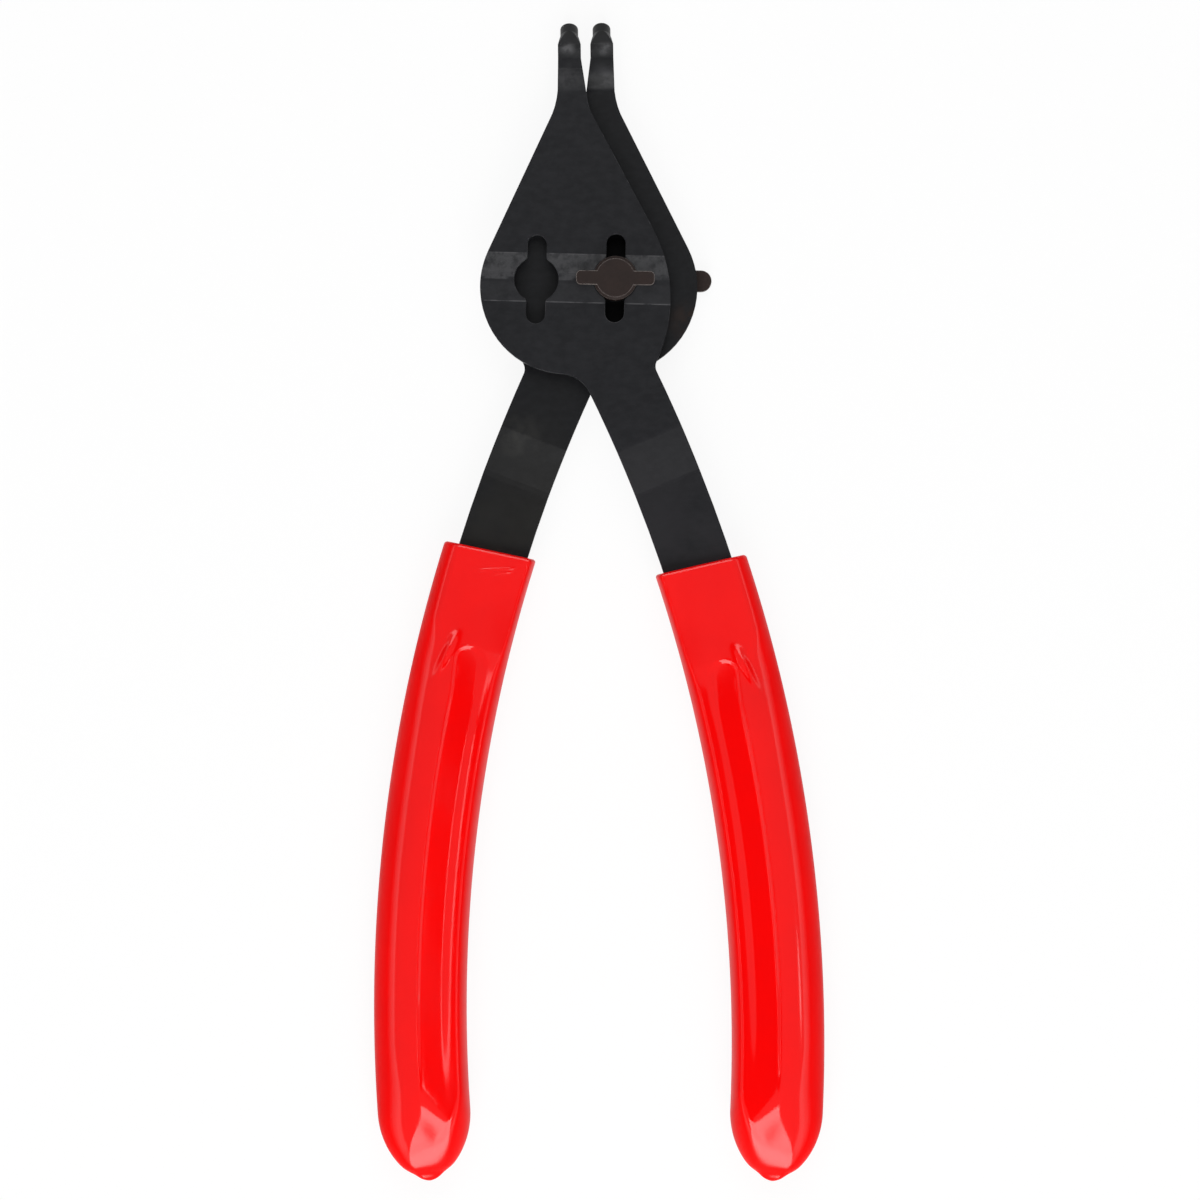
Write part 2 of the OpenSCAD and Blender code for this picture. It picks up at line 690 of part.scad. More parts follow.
module front_plate() {
    color(steel) placed() front_plate_shape();
}

module rear_plate() {
    color(steel) placed() rear_plate_shape();
}

module front_grip() {
    color(vinyl) placed() grip_shape(front_mouth_drop, handle_reach);
}

module rear_grip() {
    color(vinyl) placed() mirror([1, 0, 0]) grip_shape(rear_mouth_drop, handle_reach - rear_short);
}

module pivot_stud() {
    color(browned) placed() pivot_stud_shape();
}

module spring_washer() {
    color("silver") placed() spring_washer_shape();
}

module lock_lever() {
    color(browned) placed() lock_lever_shape();
}

front_plate();
rear_plate();
front_grip();
rear_grip();
pivot_stud();
spring_washer();
lock_lever();
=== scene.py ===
"""Retaining-ring pliers: finishes, dipped grips, studio floor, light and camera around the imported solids."""

import json
import math
from collections import namedtuple

import bpy
import numpy as np
from mathutils import Matrix, Vector

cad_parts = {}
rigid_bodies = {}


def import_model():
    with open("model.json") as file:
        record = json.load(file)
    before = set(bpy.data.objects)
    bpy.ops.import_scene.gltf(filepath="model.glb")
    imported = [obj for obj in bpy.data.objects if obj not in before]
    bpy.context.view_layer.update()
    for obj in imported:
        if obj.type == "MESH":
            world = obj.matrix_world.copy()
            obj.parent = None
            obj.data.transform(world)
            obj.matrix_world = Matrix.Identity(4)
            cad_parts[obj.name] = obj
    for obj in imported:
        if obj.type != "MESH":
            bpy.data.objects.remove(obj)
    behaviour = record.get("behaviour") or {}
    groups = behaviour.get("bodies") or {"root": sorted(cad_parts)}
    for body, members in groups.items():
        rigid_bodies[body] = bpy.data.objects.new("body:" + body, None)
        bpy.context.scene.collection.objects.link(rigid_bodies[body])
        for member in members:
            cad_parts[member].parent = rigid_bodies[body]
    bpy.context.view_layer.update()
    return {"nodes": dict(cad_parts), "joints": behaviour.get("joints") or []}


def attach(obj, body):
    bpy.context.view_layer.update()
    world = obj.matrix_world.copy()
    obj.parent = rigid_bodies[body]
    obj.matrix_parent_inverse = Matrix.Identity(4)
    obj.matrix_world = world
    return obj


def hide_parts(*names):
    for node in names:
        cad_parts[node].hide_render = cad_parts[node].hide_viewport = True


for leftover in list(bpy.data.objects):
    bpy.data.objects.remove(leftover)

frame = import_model()

MM = 0.001

# The pivot gives the height of the plates' middle plane and where the handles' sizes are measured from
PIVOT = Vector(next(j for j in frame["joints"] if j["name"] == "jaw_pivot")["pos_m"])

# Bow of the handles, in millimetres from the mirror line and from the pivot's height
BOW_R = 229.0
BOW_X = 27.0
BOW_DROP = 112.6
STRIP_W = 10.5
STRIP_SHIFT = 0.45
STRIP_T = 2.7
STRIP_END_DROP = 127.24

# Grips, in millimetres, with angles in degrees
FRONT_MOUTH_DROP = 43.3
REAR_MOUTH_DROP = 40.7
FRONT_END_DROP = 136.58
REAR_END_DROP = 135.78
GRIP_W = 14.02
GRIP_H = 9.98
MOUTH_H = 6.6
MOUTH_SKEW = 5.5
SKEW_FADE = 12.0
RIM_R = 0.5
LIP_R = 0.3
GRIP_CLEAR = 0.06
MOUTH_TILT = 4.4
MOUTH_EDGE_IN = 1.0
MOUTH_EDGE_OUT = 2.6
BODY_EDGE_IN = 1.7
BODY_EDGE_OUT = 7.5
MOUTH_POWER = 5.0
BODY_POWER = 2.7
DOME_L = 10.6
DOME_L_IN = 8.5
DOME_L_OUT = 22.0
DOME_POWER = 0.62
DOME_POWER_OUT = 0.8
DOME_EDGE_IN = 8.0
DOME_EDGE_OUT = 3.0
DOME_EDGE_L = 14.0
NECK_AT = 1.1
NECK_L = 0.7
NECK_SHARE = 0.05

# Swell of the grips, and the low nose that starts the outer half of their body
SWELL_START = 11.0
SWELL_L = 8.5
FRONT_SWELL_L = 36.0
TILT_FADE_START = 13.0
TILT_FADE = 13.0
NOSE_H = 0.38
NOSE_U = 1.4
NOSE_DRIFT = 0.2
NOSE_START = 12.4
NOSE_RISE = 4.0
NOSE_FADE = 5.5
NOSE_W = 0.55

# Trough along the front of the grips
TROUGH_D = 0.3
TROUGH_W = 2.65
TROUGH_SHIFT = 2.35
TROUGH_START_SHIFT = 1.6
TROUGH_SHIFT_L = 9.0
TROUGH_START = 14.5
TROUGH_END_GAP = 9.0
TROUGH_FADE = 26.0
RIDGE_H = 0.12
RIDGE_FADE = 4.0
FLOOR_IN = 0.32
FLOOR_OUT = 0.85

# Faint waves that the dip left all over, and the creases beside one mouth
WAVE_H = 0.005
FOLD_FADE = 1.2
Fold = namedtuple("Fold", "height middle slope width low high")
MOUTH_FOLDS = (
    Fold(height=0.030, middle=3.1, slope=0.27, width=0.22, low=-4.6, high=1.6),
    Fold(height=0.022, middle=3.9, slope=0.34, width=0.25, low=-4.4, high=-0.6),
)

# Rings of the grips' skin: points on each, where the close ones end, and how many each stretch has
GRIP_SIDES = 240
CREASES_END = 6.5
SWELL_END = 26.0
RIM_STEPS = 6
CREASED_RINGS = 70
SWELLING_RINGS = 110
PLAIN_RINGS = 110
DOME_STEPS = 44
DOME_CROWDING = 1.7
DOME_LAST = 0.0012
CAVITY_STEPS = 40
LIP_STEPS = 4

# Pressed band across the front plate, in millimetres and degrees, with the rubbed stretches of its crest
BAND_TILT = -2.2
BAND_W = 7.26
BAND_TOP = 2.6
BAND_RUBBED = ((-15.6, -12.3), (-5.2, -2.3))

# Places along the tool, in millimetres from its middle, between which the handles take on their own tint
HANDLE_TINT_START = 34.0
HANDLE_TINT_FULL = 2.0

# Specular level of the dull oxide, of the painted shade in the stud's slots and of the browned steel
OXIDE_GLOSS = 0.18
SLOT_SHADE_GLOSS = 0.03
BROWNED_GLOSS = 0.22

# Specular level of the vinyl, and how upright its skin is where the dull flanks begin and end
VINYL_GLOSS = 0.5
FLANK_GLOSS = 0.08
FLANK_FULL = 0.80
FLANK_END = 0.91

# Tints, as linear colours
FRONT_DARK = (0.0050, 0.0053, 0.0068)
FRONT_LIGHT = (0.0136, 0.0140, 0.0162)
FRONT_HANDLE = (0.0150, 0.0143, 0.0166)
# Rear plate: the front plate's oxide made darker, as painted shade on the lower plate, warmer on its handle
REAR_SHADED_DARK = (0.0028, 0.0031, 0.0039)
REAR_SHADED_LIGHT = (0.0080, 0.0084, 0.0098)
REAR_SHADED_HANDLE = (0.0106, 0.0100, 0.0088)
# Painted shade in the stud's slots
SLOT_SHADE = (0.0025, 0.0026, 0.0029)
BARE_AND_LIT_OXIDE = (0.10, 0.10, 0.105)
BROWNED_DARK = (0.0125, 0.0066, 0.0052)
BROWNED_LIGHT = (0.0190, 0.0105, 0.0086)
BARE_BROWNED = (0.34, 0.30, 0.28)
SPRING_DARK = (0.22, 0.22, 0.225)
SPRING_LIGHT = (0.32, 0.315, 0.31)
VINYL_BRIGHT = (0.90, 0.0012, 0.0012)
VINYL_DEEP = (0.86, 0.0010, 0.0013)
RUST = (0.020, 0.0105, 0.0072)
# Painted highlight below the rear handle's step
HANDLE_STEP_HIGHLIGHT = (0.020, 0.0198, 0.0185)
# Painted shade on the jaws' tips, and painted highlights on their steps and bends
TIP_SHADE = (0.0034, 0.0036, 0.0040)
STEP_HIGHLIGHT = (0.040, 0.040, 0.043)
BEND_HIGHLIGHT = (0.12, 0.12, 0.125)
FLOOR_DARK = (0.9, 0.9, 0.9)
FLOOR_LIGHT = (0.915, 0.915, 0.915)
WORLD_GREY = (0.02, 0.02, 0.02)

# White dish of the studio, in metres, and the share of it that shows as plain white
DISH_INNER_R = 0.6
DISH_FLAT_R = 1.3
DISH_BEND_R = 0.5
DISH_H = 1.4
DISH_SIDES = 96
DISH_BEND_STEP = 9
WHITE_SHARE = 0.9

# Camera: its height in metres, and the photo's width, middle and turn in millimetres and degrees
CAMERA_H = 1.0
SENSOR_W = 36.0
PHOTO_W = 181.3
PHOTO_MIDDLE_X = 1.015
PHOTO_MIDDLE_Y = 0.356
PHOTO_TURN = -0.8

# A place that is stained, or given painted shade or a painted highlight, and a well of painted shade, in
# metres
StainOrLight = namedtuple("StainOrLight", "place radius tint")
Well = namedtuple("Well", "place radius")


def smooth(t):
    """Soft step from 0 to 1."""
    t = np.clip(t, 0.0, 1.0)
    return t * t * (3 - 2 * t)


def between(a, b, share):
    return a + (b - a) * share


class Graph:
    """A material's node tree, with short calls for the nodes that the finishes share."""

    def __init__(self, name):
        self.material = bpy.data.materials.new(name)
        self.material.use_nodes = True
        self.tree = self.material.node_tree
        self.shader = self.tree.nodes["Principled BSDF"]
        self.coords = self.node("TexCoord").outputs["Object"]

    def node(self, kind, **settings):
        made = self.tree.nodes.new("ShaderNode" + kind)
        for key, value in settings.items():
            setattr(made, key, value)
        return made

    def feed(self, socket, value):
        """Links an output to a socket, or sets a plain value on it."""
        if isinstance(value, bpy.types.NodeSocket):
            self.tree.links.new(value, socket)
        else:
            socket.default_value = value

    def set(self, **inputs):
        """Sets or links the shader's inputs; an underscore stands for a space."""
        for key, value in inputs.items():
            self.feed(self.shader.inputs[key.replace("_", " ")], value)

    def noise(self, scale, detail=3.0, roughness=0.55, stretch=None):
        made = self.node("TexNoise")
        made.inputs["Scale"].default_value = scale
        made.inputs["Detail"].default_value = detail
        made.inputs["Roughness"].default_value = roughness
        self.feed(made.inputs["Vector"], self.mapped(stretch) if stretch else self.coords)
        return made.outputs["Fac"]

    def mapped(self, stretch=(1, 1, 1), turn=0.0, origin=(0, 0, 0)):
        """Object coordinates turned about Z and stretched, measured from an origin."""
        moved = self.node("VectorMath", operation="SUBTRACT")
        self.feed(moved.inputs[0], self.coords)
        moved.inputs[1].default_value = origin
        made = self.node("Mapping", vector_type="POINT")
        self.feed(made.inputs["Vector"], moved.outputs[0])
        made.inputs["Rotation"].default_value = (0, 0, turn)
        made.inputs["Scale"].default_value = stretch
        return made.outputs["Vector"]

    def axis(self, vector, name):
        made = self.node("SeparateXYZ")
        self.feed(made.inputs[0], vector)
        return made.outputs[name]

    def math(self, operation, a, b=0.0):
        made = self.node("Math", operation=operation)
        self.feed(made.inputs[0], a)
        self.feed(made.inputs[1], b)
        return made.outputs[0]

    def chain(self, operation, first, *others):
        """One operation over several values in turn."""
        for other in others:
            first = self.math(operation, first, other)
        return first

    def product(self, *values):
        return self.chain("MULTIPLY", *values)

    def total(self, *values):
        return self.chain("ADD", *values)

    def greatest(self, *values):
        return self.chain("MAXIMUM", *values)

    def span(self, value, low, high, to_low=0.0, to_high=1.0):
        """Maps a range of values to another with a soft step."""
        made = self.node("MapRange", interpolation_type="SMOOTHSTEP")
        made.inputs["From Min"].default_value = low
        made.inputs["From Max"].default_value = high
        made.inputs["To Min"].default_value = to_low
        made.inputs["To Max"].default_value = to_high
        self.feed(made.inputs["Value"], value)
        return made.outputs["Result"]

    def mix(self, share, a, b):
        made = self.node("Mix", data_type="RGBA")
        self.feed(made.inputs["Factor"], share)
        for socket, value in ((made.inputs[6], a), (made.inputs[7], b)):
            self.feed(socket, value if isinstance(value, bpy.types.NodeSocket) else (*value, 1.0))
        return made.outputs[2]

    def near(self, place, radius):
        """1 at a place, falling to 0 at a radius from it."""
        made = self.node("VectorMath", operation="DISTANCE")
        self.feed(made.inputs[0], self.coords)
        made.inputs[1].default_value = place
        return self.span(made.outputs["Value"], 0.0, radius, 1.0, 0.0)

    def rounded_edges(self, radius):
        """A normal that rounds the sharp edges, and a mask that is 1 on them."""
        edge = self.node("Bevel", samples=6)
        edge.inputs["Radius"].default_value = radius
        flat = self.node("NewGeometry")
        dot = self.node("VectorMath", operation="DOT_PRODUCT")
        self.feed(dot.inputs[0], edge.outputs[0])
        self.feed(dot.inputs[1], flat.outputs["Normal"])
        return edge.outputs[0], self.span(dot.outputs["Value"], 0.99, 0.86)

    def bump(self, height, depth, normal=None):
        made = self.node("Bump")
        made.inputs["Strength"].default_value = 1.0
        made.inputs["Distance"].default_value = depth
        self.feed(made.inputs["Height"], height)
        if normal is not None:
            self.feed(made.inputs["Normal"], normal)
        return made.outputs["Normal"]


def black_oxide(name, dark, light, handle_tint, banded=False, stains_and_lights=(), wells=()):
    """Black oxide over rolled sheet: blotched, another tint on the handle, bare along worn edges, with painted
    highlights on the band's slopes and the given stains, painted shade and painted highlights.
    """
    g = Graph(name)
    mottle = g.span(g.noise(scale=170.0, detail=5.0, roughness=0.62), 0.32, 0.7)
    fibres = g.span(g.noise(scale=1000.0, detail=5.0, roughness=0.65, stretch=(0.6, 1.0, 1.0)), 0.32, 0.68)
    colour = g.mix(g.product(g.total(mottle, fibres), 0.5), dark, light)
    down_handle = g.span(g.axis(g.coords, "Y"), HANDLE_TINT_START * MM, HANDLE_TINT_FULL * MM)
    colour = g.mix(g.product(down_handle, g.span(g.noise(scale=95.0), 0.3, 0.55)), colour, handle_tint)
    colour = shaded_in_wells(g, stained_and_lit(g, colour, stains_and_lights), wells)
    normal, edge = g.rounded_edges(0.18 * MM)
    lightened = g.product(edge, g.span(g.noise(scale=330.0, detail=4.0, roughness=0.7), 0.43, 0.63))
    if banded:
        # The band adds rubbed strips and a painted highlight on its slopes
        lightened = g.greatest(lightened, band_wear_and_highlights(g))
    colour = g.mix(g.product(lightened, 0.75), colour, BARE_AND_LIT_OXIDE)
    grain = g.noise(scale=2600.0, detail=2.0, roughness=0.6)
    streaks = g.noise(scale=700.0, roughness=0.6, stretch=(1.0, 0.12, 1.0))
    rough = g.total(g.span(mottle, 0.0, 1.0, 0.46, 0.38), g.span(grain, 0.2, 0.8, -0.04, 0.04))
    relief = g.total(g.product(grain, 0.5), g.product(streaks, 0.5))
    g.set(Base_Color=colour, Roughness=rough, Normal=g.bump(relief, 0.006 * MM, normal))
    g.set(Metallic=0.0, IOR=1.5)
    return g.material


def stained_and_lit(g, colour, stains_and_lights):
    """A colour with patchy marks over it: real stains, painted shade and painted highlights."""
    for stain_or_light in stains_and_lights:
        patchy = g.span(g.noise(scale=420.0, detail=4.0), 0.35, 0.65)
        colour = g.mix(g.product(g.near(stain_or_light.place, stain_or_light.radius), patchy), colour, stain_or_light.tint)
    return colour


def shaded_in_wells(g, colour, wells):
    """A colour with painted shade in the wells: dark there, and dull with a low specular level. Sets the
    oxide's specular level as well.
    """
    if not wells:
        g.set(Specular_IOR_Level=OXIDE_GLOSS)
        return colour
    well_share = g.greatest(*[g.near(well.place, well.radius) for well in wells])
    g.set(Specular_IOR_Level=g.span(well_share, 0.0, 0.5, OXIDE_GLOSS, SLOT_SHADE_GLOSS))
    return g.mix(g.span(well_share, 0.0, 0.5), colour, SLOT_SHADE)


def band_wear_and_highlights(g):
    """Lighter share on the band: bare strips rubbed on its crest, thin lighter lines along its edges, and a
    painted highlight on its slopes, strong on the upper one.
    """
    along_band = g.mapped(turn=-math.radians(BAND_TILT), origin=(0.0, PIVOT.y, 0.0))
    y = g.axis(along_band, "Y")
    off_crest = g.math("ABSOLUTE", y)
    off_edge = g.math("ABSOLUTE", g.math("SUBTRACT", off_crest, BAND_W / 2 * MM))
    patchy = g.span(g.noise(scale=520.0, detail=4.0, roughness=0.65), 0.3, 0.6)
    crest = g.span(off_crest, 0.24 * MM, 0.5 * MM, 1.0, 0.0)
    rubbed = g.greatest(*[rubbed_stretch(g, along_band, low, high) for low, high in BAND_RUBBED])
    strips = g.product(crest, rubbed, patchy, 0.5)
    lines = g.product(g.span(off_edge, 0.03 * MM, 0.14 * MM, 1.0, 0.0), patchy, 0.75)
    on_top = g.span(g.axis(g.coords, "Z"), PIVOT.z + BAND_TOP * MM, PIVOT.z + (BAND_TOP + 0.1) * MM)
    on_band = g.span(off_crest, (BAND_W / 2 - 0.1) * MM, BAND_W / 2 * MM, 1.0, 0.0)
    # Painted highlight on the band's slopes: strong on the upper slope, which faces the light, faint on the
    # lower
    lit_slopes = g.product(g.span(y, -0.1 * MM, 0.1 * MM, 0.06, 0.46), on_band, patchy)
    return g.greatest(g.product(g.greatest(strips, lines), on_top), lit_slopes)


def rubbed_stretch(g, along_band, low, high):
    """1 between two places along the band, with soft ends."""
    x = g.axis(along_band, "X")
    begun = g.span(x, (low - 0.6) * MM, (low + 0.4) * MM)
    not_ended = g.span(x, (high - 0.4) * MM, (high + 0.6) * MM, 1.0, 0.0)
    return g.product(begun, not_ended)


def browned_steel(name):
    """Browned steel, dull and slightly reddish, with bright rubbed outlines."""
    g = Graph(name)
    mottle = g.span(g.noise(scale=420.0, detail=5.0, roughness=0.65), 0.3, 0.7)
    normal, edge = g.rounded_edges(0.20 * MM)
    lightened = g.product(edge, g.span(g.noise(scale=700.0, detail=4.0, roughness=0.7), 0.28, 0.52), 0.8)
    colour = g.mix(lightened, g.mix(mottle, BROWNED_DARK, BROWNED_LIGHT), BARE_BROWNED)
    rough = g.span(mottle, 0.0, 1.0, 0.55, 0.44)
    relief = g.noise(scale=3200.0, roughness=0.6)
    g.set(Base_Color=colour, Roughness=rough, Normal=g.bump(relief, 0.005 * MM, normal))
    g.set(Metallic=0.0, IOR=1.5, Specular_IOR_Level=BROWNED_GLOSS)
    return g.material


def spring_steel(name):
    """Oiled spring steel with a fine grain."""
    g = Graph(name)
    grain = g.noise(scale=1500.0, roughness=0.6)
    colour = g.mix(g.span(g.noise(scale=300.0, detail=4.0), 0.35, 0.65), SPRING_DARK, SPRING_LIGHT)
    normal, _ = g.rounded_edges(0.06 * MM)
    rough = g.span(grain, 0.2, 0.8, 0.28, 0.42)
    g.set(Base_Color=colour, Roughness=rough, Normal=g.bump(grain, 0.003 * MM, normal), Metallic=1.0)
    return g.material


def red_vinyl(name):
    """Dip-moulded vinyl: deep glossy red with a faint flow and fine scuffs, duller on the handled flanks."""
    g = Graph(name)
    flow = g.noise(scale=120.0, roughness=0.5)
    colour = g.mix(g.span(flow, 0.3, 0.7), VINYL_BRIGHT, VINYL_DEEP)
    scuffs = g.span(g.noise(scale=900.0, detail=5.0, roughness=0.7, stretch=(1.0, 0.25, 1.0)), 0.58, 0.75)
    upright = g.math("ABSOLUTE", g.axis(g.node("NewGeometry").outputs["Normal"], "Z"))
    flank = g.span(upright, FLANK_FULL, FLANK_END, 1.0, 0.0)
    rough = g.total(g.span(flow, 0.3, 0.7, 0.075, 0.105), g.product(scuffs, 0.06), g.product(flank, 0.30))
    peel = g.noise(scale=260.0, detail=2.0, roughness=0.4)
    g.set(Base_Color=colour, Roughness=rough, Normal=g.bump(peel, 0.004 * MM), Metallic=0.0, IOR=1.5)
    g.set(Specular_IOR_Level=g.span(flank, 0.0, 1.0, VINYL_GLOSS, FLANK_GLOSS))
    return g.material


def dress(node, material):
    """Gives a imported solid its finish."""
    frame["nodes"][node].material_slots[0].material = material


def jaw_painted_light(side):
    """Painted shade on a jaw's tip, and painted highlights on its step and bend. Side is -1 at the left and 1
    at the right.
    """
    return [
        # Painted shade on the tip, where it bends away from the light, then painted highlights on the step and
        # the bend
        StainOrLight((2.45 * MM * side, 86.2 * MM, 2.0 * MM), 8.0 * MM, TIP_SHADE),
        StainOrLight((2.9 * MM * side, 79.2 * MM, (6.3 - 0.5 * side) * MM), 3.2 * MM, STEP_HIGHLIGHT),
        StainOrLight((2.9 * MM * side, 83.9 * MM, 6.2 * MM), 1.8 * MM, BEND_HIGHLIGHT),
    ]


def dress_steel():
    """Finishes of the two plates, the stud, the lever and the washer."""
    brown_edge = StainOrLight((15.0 * MM, PIVOT.y - 6.5 * MM, 4.0 * MM), 4.2 * MM, RUST)
    # Painted highlight on the rear handle below its step: the fade of light over a soft bend
    handle_step_highlight = StainOrLight((-10.7 * MM, 25.1 * MM, PIVOT.z + 1.0 * MM), 5.0 * MM, HANDLE_STEP_HIGHLIGHT)
    # Painted shade in the stud's slots, where the rear plate lies deep under the front one
    stud_slots = [Well((PIVOT.x, PIVOT.y + 5.8 * MM * side, PIVOT.z), 4.6 * MM) for side in (-1, 1)]
    front_oxide = black_oxide("front_black_oxide", FRONT_DARK, FRONT_LIGHT, FRONT_HANDLE,
                              banded=True, stains_and_lights=jaw_painted_light(-1))
    # The rear plate's oxide is the front's darkened, as painted shade
    rear_shaded_oxide = black_oxide("rear_shaded_black_oxide", REAR_SHADED_DARK, REAR_SHADED_LIGHT, REAR_SHADED_HANDLE,
                             stains_and_lights=[brown_edge, handle_step_highlight, *jaw_painted_light(1)], wells=stud_slots)
    browned = browned_steel("browned")
    dress("front_plate", front_oxide)
    dress("rear_plate", rear_shaded_oxide)
    dress("pivot_stud", browned)
    dress("lock_lever", browned)
    dress("spring_washer", spring_steel("spring"))


def add_mesh(name, points, faces, material):
    """A smooth mesh object in the scene."""
    mesh = bpy.data.meshes.new(name)
    mesh.from_pydata(points, [], faces)
    mesh.polygons.foreach_set("use_smooth", [True] * len(faces))
    mesh.materials.append(material)
    made = bpy.data.objects.new(name, mesh)
    bpy.context.scene.collection.objects.link(made)
    return made


def ring_quads(i, j, sides):
    """Faces between two rings of points."""
    pairs = [(k, (k + 1) % sides) for k in range(sides)]
    return [(i * sides + k, j * sides + k, j * sides + after, i * sides + after) for k, after in pairs]


def bow_turn(drop):
    """Place along the bow's middle line at a drop below the pivot, as an angle."""
    return math.asin((BOW_DROP - drop) / BOW_R)


def beside_bow(mouth_turn, s, u, z):
    """Place beside the bow: s runs down from the mouth, u outwards from the middle, z up."""
    skew = u * math.tan(math.radians(MOUTH_SKEW)) * (1 - smooth(s / SKEW_FADE))
    turn = mouth_turn - (s + skew) / BOW_R
    x = BOW_X - BOW_R + (BOW_R + u) * np.cos(turn)
    y = -BOW_DROP + (BOW_R + u) * np.sin(turn)
    return np.stack([x, y, z + 0 * x], axis=-1)


def dome_share(from_end, dome_l=DOME_L, power=DOME_POWER):
    """Share of the full section that is left at a distance from a grip's end, with the dip's nipple."""
    closing = np.maximum(0.0, 1 - from_end / dome_l)
    neck = NECK_SHARE * math.exp(-((from_end - NECK_AT) / NECK_L) ** 2)
    return (1 - closing ** 2) ** power - neck


def quarter(distance, radius):
    """Height of a quarter ellipse, from 0 at an edge to 1 at a radius from it."""
    t = np.clip(distance / np.maximum(radius, 1e-6), 0, 1)
    return np.sqrt(1 - (1 - t) ** 2)


def front_height(s, u):
    """Half thickness of a grip's front with sharp edges: a tilted mouth that swells, and the nose."""
    body = between(MOUTH_H, GRIP_H, smooth(s / FRONT_SWELL_L)) / 2
    tilt = math.tan(math.radians(MOUTH_TILT)) * (1 - smooth((s - TILT_FADE_START) / TILT_FADE))
    past = s - NOSE_START
    nose = smooth(past / NOSE_RISE) * (1 - smooth((past - NOSE_RISE) / NOSE_FADE))
    across = (u - NOSE_U - NOSE_DRIFT * past) / NOSE_W
    return body - u * tilt + NOSE_H * nose * np.exp(-across ** 2)


def trough_dip(s, u, length):
    """Depth of the trough: round at its start, run out at the dome, steep outside, ridged inside."""
    run_out = smooth((length - TROUGH_END_GAP - s) / TROUGH_FADE)
    along = max(0.0, TROUGH_START + TROUGH_W - s)
    across = u + between(TROUGH_START_SHIFT, TROUGH_SHIFT, smooth((s - TROUGH_START) / TROUGH_SHIFT_L))
    off = np.hypot(along, across)
    floor_share = between(FLOOR_IN, FLOOR_OUT, smooth((1 + across / np.maximum(off, RIM_R)) / 2))
    lasting = smooth((s - TROUGH_START) / RIDGE_FADE)
    ridge = (TROUGH_D - RIDGE_H) * lasting * smooth(-across / TROUGH_W)
    return run_out * between(ridge, TROUGH_D, smooth((1 - off / TROUGH_W) / (1 - floor_share)))


def dip_marks(s, u, folds):
    """Height of what the dip left: faint waves, and folds that lean along s and end across u."""
    raised = WAVE_H * (np.sin(0.40 * s + 0.5 * u + 1.3) * np.sin(0.17 * s - 0.6 * u) - 1)
    for fold in folds:
        window = smooth((u - fold.low) / FOLD_FADE) * smooth((fold.high - u) / FOLD_FADE)
        off = (s - fold.middle - fold.slope * u) / fold.width
        raised = raised + fold.height * window * np.exp(-off ** 2)
    return raised


def ring_turns():
    """Angles of the points on a ring of a grip's skin."""
    return 2 * math.pi * np.arange(GRIP_SIDES) / GRIP_SIDES


def grip_ring(mouth_turn, s, length, folds):
    """Outer ring of a grip: crisp inner edge, round outer flank, shallow trough in front, round back."""
    turn = ring_turns()
    share = dome_share(length - s)
    inset = RIM_R - math.sqrt(RIM_R ** 2 - (RIM_R - s) ** 2) if s < RIM_R else 0.0
    swell = float(smooth((s - SWELL_START) / SWELL_L))
    half_w = GRIP_W / 2 * share - inset
    back_h = between(MOUTH_H, GRIP_H, swell) / 2 * share - inset
    ending = smooth(1 - (length - s) / DOME_EDGE_L)
    edge_in = between(between(MOUTH_EDGE_IN, BODY_EDGE_IN, swell), DOME_EDGE_IN, ending) * share
    edge_out = between(between(MOUTH_EDGE_OUT, BODY_EDGE_OUT, swell), DOME_EDGE_OUT, ending) * share
    u = half_w * np.cos(turn)
    rounding = quarter(half_w + u, edge_in) * quarter(half_w - u, edge_out)
    outwards = smooth(u / GRIP_W + 0.5)
    dome_l = between(DOME_L_IN, DOME_L_OUT, outwards)
    front_share = dome_share(length - s, dome_l, between(DOME_POWER, DOME_POWER_OUT, outwards))
    marked = (front_height(s, u) + dip_marks(s, u, folds)) * front_share - inset
    front = marked * rounding - trough_dip(s, u, length)
    power = between(MOUTH_POWER, BODY_POWER, swell)
    back = -back_h * np.clip(1 - np.abs(np.cos(turn)) ** power, 0, 1) ** (1 / power)
    return beside_bow(mouth_turn, s, u, np.where(np.sin(turn) >= 0, front, back))


def cavity_ring(mouth_turn, s, flare):
    """Ring of the cavity round the handle strip, opened by a flare at the lip."""
    turn = ring_turns()
    reach = np.maximum(np.abs(np.cos(turn)), np.abs(np.sin(turn)))
    u = (STRIP_W / 2 + GRIP_CLEAR + flare) * np.cos(turn) / reach - STRIP_SHIFT
    z = (STRIP_T / 2 + GRIP_CLEAR + flare) * np.sin(turn) / reach
    return beside_bow(mouth_turn, s, u, z)


def outer_places(length):
    """Distances from the mouth of a grip's outer rings: the rim, the fine relief, the body and the dome."""
    rim = [RIM_R * (1 - math.cos(math.pi / 2 * q / RIM_STEPS)) for q in range(RIM_STEPS + 1)]
    creased = np.linspace(RIM_R, CREASES_END, CREASED_RINGS)[1:]
    swelling = np.linspace(CREASES_END, SWELL_END, SWELLING_RINGS)[1:]
    plain = np.linspace(SWELL_END, length - DOME_L, PLAIN_RINGS)[1:]
    shares = [(1 - q / DOME_STEPS) ** DOME_CROWDING for q in range(1, DOME_STEPS + 1)]
    dome = [length - DOME_L * max(DOME_LAST, share) for share in shares]
    return [*rim, *creased, *swelling, *plain, *dome]


def lip_steps():
    """Flare and depth of the rounded inner lip, from the cavity's wall out to the mouth's face."""
    for q in range(LIP_STEPS + 1):
        turn = math.pi / 2 * q / LIP_STEPS
        yield LIP_R * (1 - math.cos(turn)), LIP_R * math.sin(turn)


